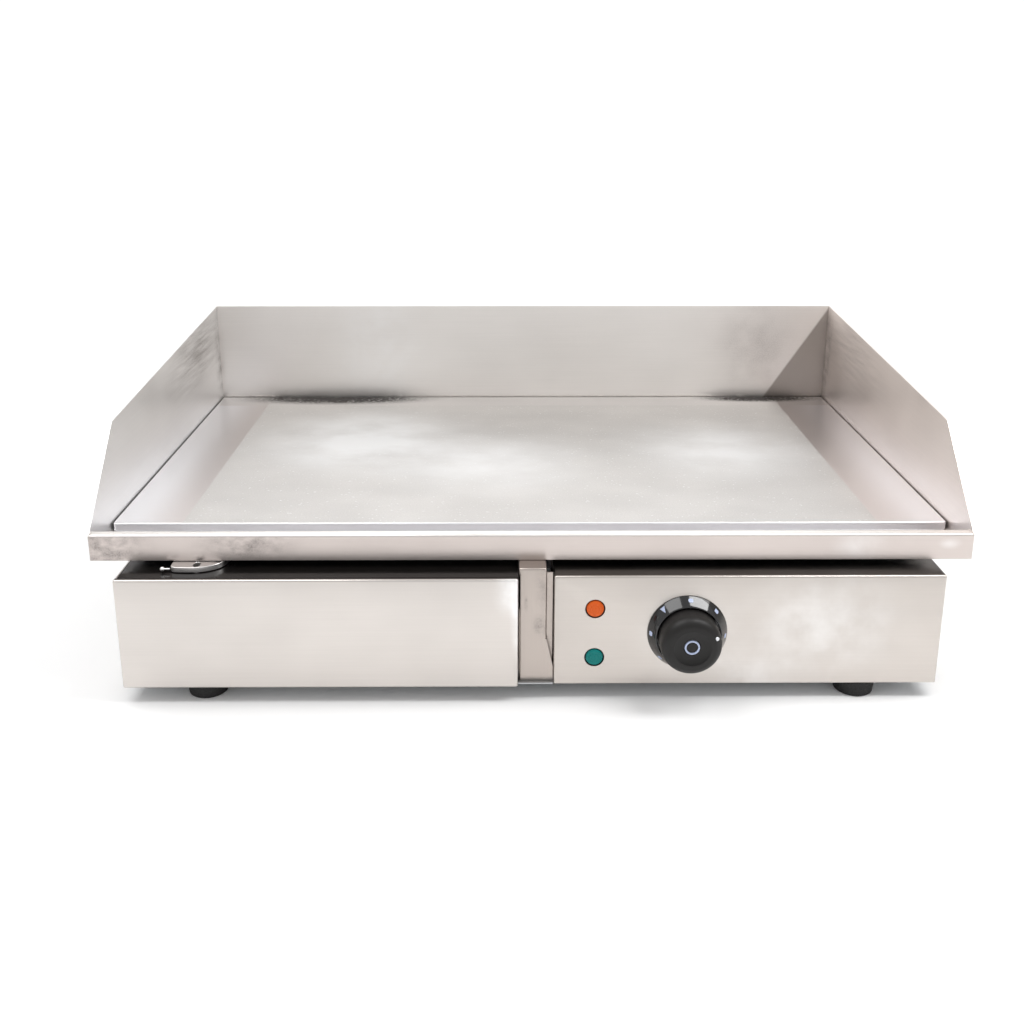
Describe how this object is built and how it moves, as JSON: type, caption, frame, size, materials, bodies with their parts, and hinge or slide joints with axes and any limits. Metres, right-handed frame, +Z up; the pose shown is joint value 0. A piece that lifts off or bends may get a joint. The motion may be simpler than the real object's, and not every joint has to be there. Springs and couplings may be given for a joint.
{
  "type": "electric griddle",
  "caption": "Countertop electric griddle: flat steel plate inside three splash walls, front grease trough, pull-out grease drawer, control box with knob and pilot lamps.",
  "frame": {"origin": "on the table surface, under the middle of the griddle's overall box", "axes": "+X to the user's right along the plate's width, -Y towards the user, +Z up"},
  "size_m": [0.73, 0.502, 0.24],
  "materials": {
    "satin_stainless": "satin",
    "polished_stainless": "polished",
    "ground_steel": "ground",
    "zinc_steel": "satin",
    "black_enamel": "gloss",
    "element_sheath": "dark satin",
    "ceramic_fibre": "matt",
    "black_phenolic": "satin",
    "gloss_black": "gloss",
    "pale_insert": "satin",
    "orange_lens": "gloss",
    "green_lens": "gloss",
    "white_nylon": "matt",
    "black_rubber": "matt",
    "black_nylon": "matt",
    "copper": "satin",
    "loom_sleeve": "matt"
  },
  "bodies": {
    "griddle_body": {"griddle_plate": "ground_steel", "rear_splash_wall": "satin_stainless", "left_splash_wall": "satin_stainless", "right_splash_wall": "satin_stainless", "front_apron": "satin_stainless", "grease_trough": "satin_stainless", "drain_spout": "polished_stainless", "spout_pin": "polished_stainless", "left_support_rail": "zinc_steel", "right_support_rail": "zinc_steel", "rear_support_rail": "zinc_steel", "base_plate": "zinc_steel", "left_side_panel": "satin_stainless", "right_side_panel": "satin_stainless", "rear_panel": "satin_stainless", "drawer_bay_cover": "black_enamel", "centre_post": "satin_stainless", "heat_bulkhead": "zinc_steel", "control_box_cover": "satin_stainless", "control_box_back": "zinc_steel", "left_drawer_rail": "zinc_steel", "right_drawer_rail": "zinc_steel", "front_left_foot": "black_rubber", "front_right_foot": "black_rubber", "rear_left_foot": "black_rubber", "rear_right_foot": "black_rubber", "front_left_foot_screw": "zinc_steel", "front_right_foot_screw": "zinc_steel", "rear_left_foot_screw": "zinc_steel", "rear_right_foot_screw": "zinc_steel", "left_heating_element": "element_sheath", "right_heating_element": "element_sheath", "front_clamp_bar": "zinc_steel", "rear_clamp_bar": "zinc_steel", "front_left_clamp_nut": "zinc_steel", "front_right_clamp_nut": "zinc_steel", "rear_left_clamp_nut": "zinc_steel", "rear_right_clamp_nut": "zinc_steel", "insulation_blanket": "ceramic_fibre", "heat_shield": "zinc_steel", "thermostat_body": "white_nylon", "thermostat_bulb": "copper", "over_temperature_cutout": "black_phenolic", "knob_bezel": "gloss_black", "orange_lamp_lens": "orange_lens", "green_lamp_lens": "green_lens", "orange_lamp_holder": "white_nylon", "green_lamp_holder": "white_nylon", "terminal_block": "white_nylon", "cable_gland_body": "black_nylon", "gland_dome_nut": "black_nylon", "gland_lock_nut": "black_nylon", "earth_stud": "copper", "earth_nut": "copper", "wiring_loom": "loom_sleeve"},
    "grease_drawer": {"drawer_front": "satin_stainless", "drawer_tray": "satin_stainless"},
    "knob_assembly": {"control_knob": "black_phenolic", "knob_cap": "pale_insert", "thermostat_spindle": "zinc_steel"}
  },
  "joints": [
    {"name": "drawer_slide", "type": "slide", "parent": "griddle_body", "child": "grease_drawer", "axis": [0, -1, 0], "range_m": [0, 0.17]},
    {"name": "knob_turn", "type": "hinge", "parent": "griddle_body", "child": "knob_assembly", "pos_m": [0.1277, -0.2215, 0.0603], "axis": [0, 1, 0], "range_deg": [-109, 161]}
  ]
}
